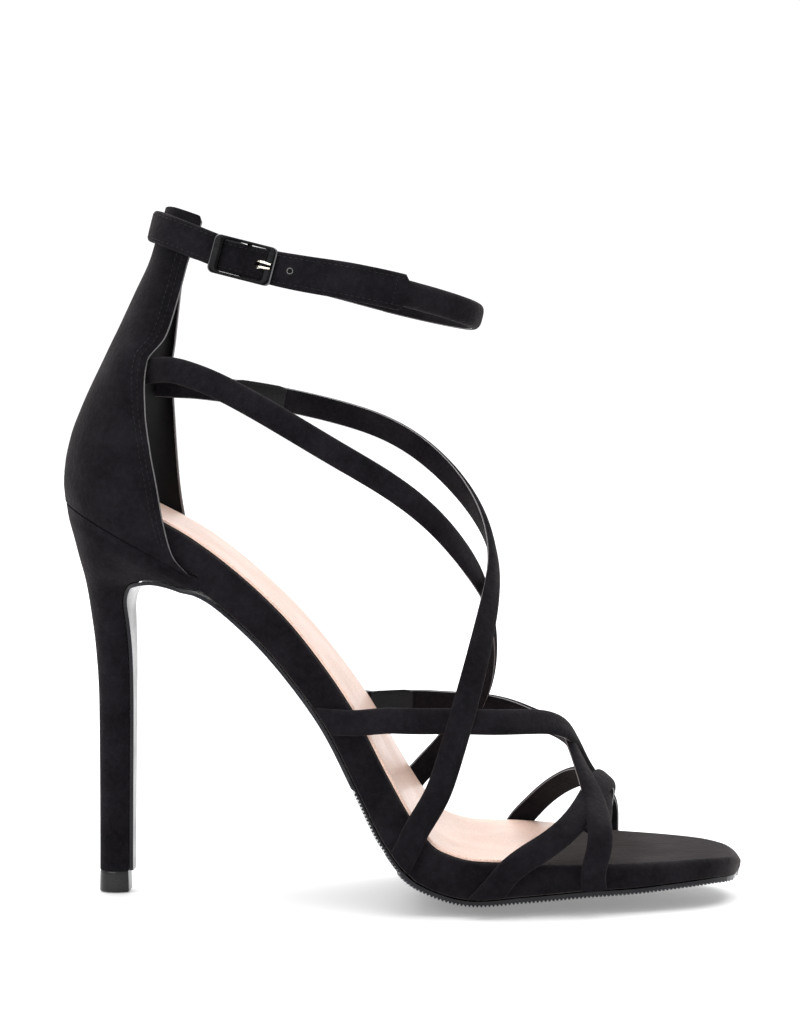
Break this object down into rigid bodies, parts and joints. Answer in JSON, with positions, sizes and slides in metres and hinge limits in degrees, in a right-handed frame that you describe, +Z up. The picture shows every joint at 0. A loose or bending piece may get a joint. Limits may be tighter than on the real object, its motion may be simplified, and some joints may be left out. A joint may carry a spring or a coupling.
{
  "type": "heeled sandal",
  "caption": "Right-foot strappy sandal on a slim high heel, with a closed heel counter, crossed padded straps and a buckled ankle strap.",
  "frame": {"origin": "centre of the heel tip's bottom face, on the floor", "axes": "+Z up, +X from heel to toe, +Y to the medial (inner) side of this right shoe"},
  "size_m": [0.1951, 0.0877, 0.1978],
  "materials": {
    "suede_black": "matt napped black suede",
    "lining_blush": "smooth satin blush lining",
    "sole_black": "glossy black, fine cross ribs under the forefoot",
    "plastic_black": "glossy black",
    "metal_dark": "polished dark plating",
    "metal_pale": "polished pale plating"
  },
  "bodies": {
    "root": {"outsole": "sole_black", "midsole": "suede_black", "insole_sock": "lining_blush", "heel": "suede_black", "top_lift": "plastic_black", "heel_counter": "suede_black", "upper_straps": "suede_black", "ankle_strap": "suede_black", "buckle_frame": "metal_dark", "buckle_prong": "metal_pale"}
  },
  "joints": []
}
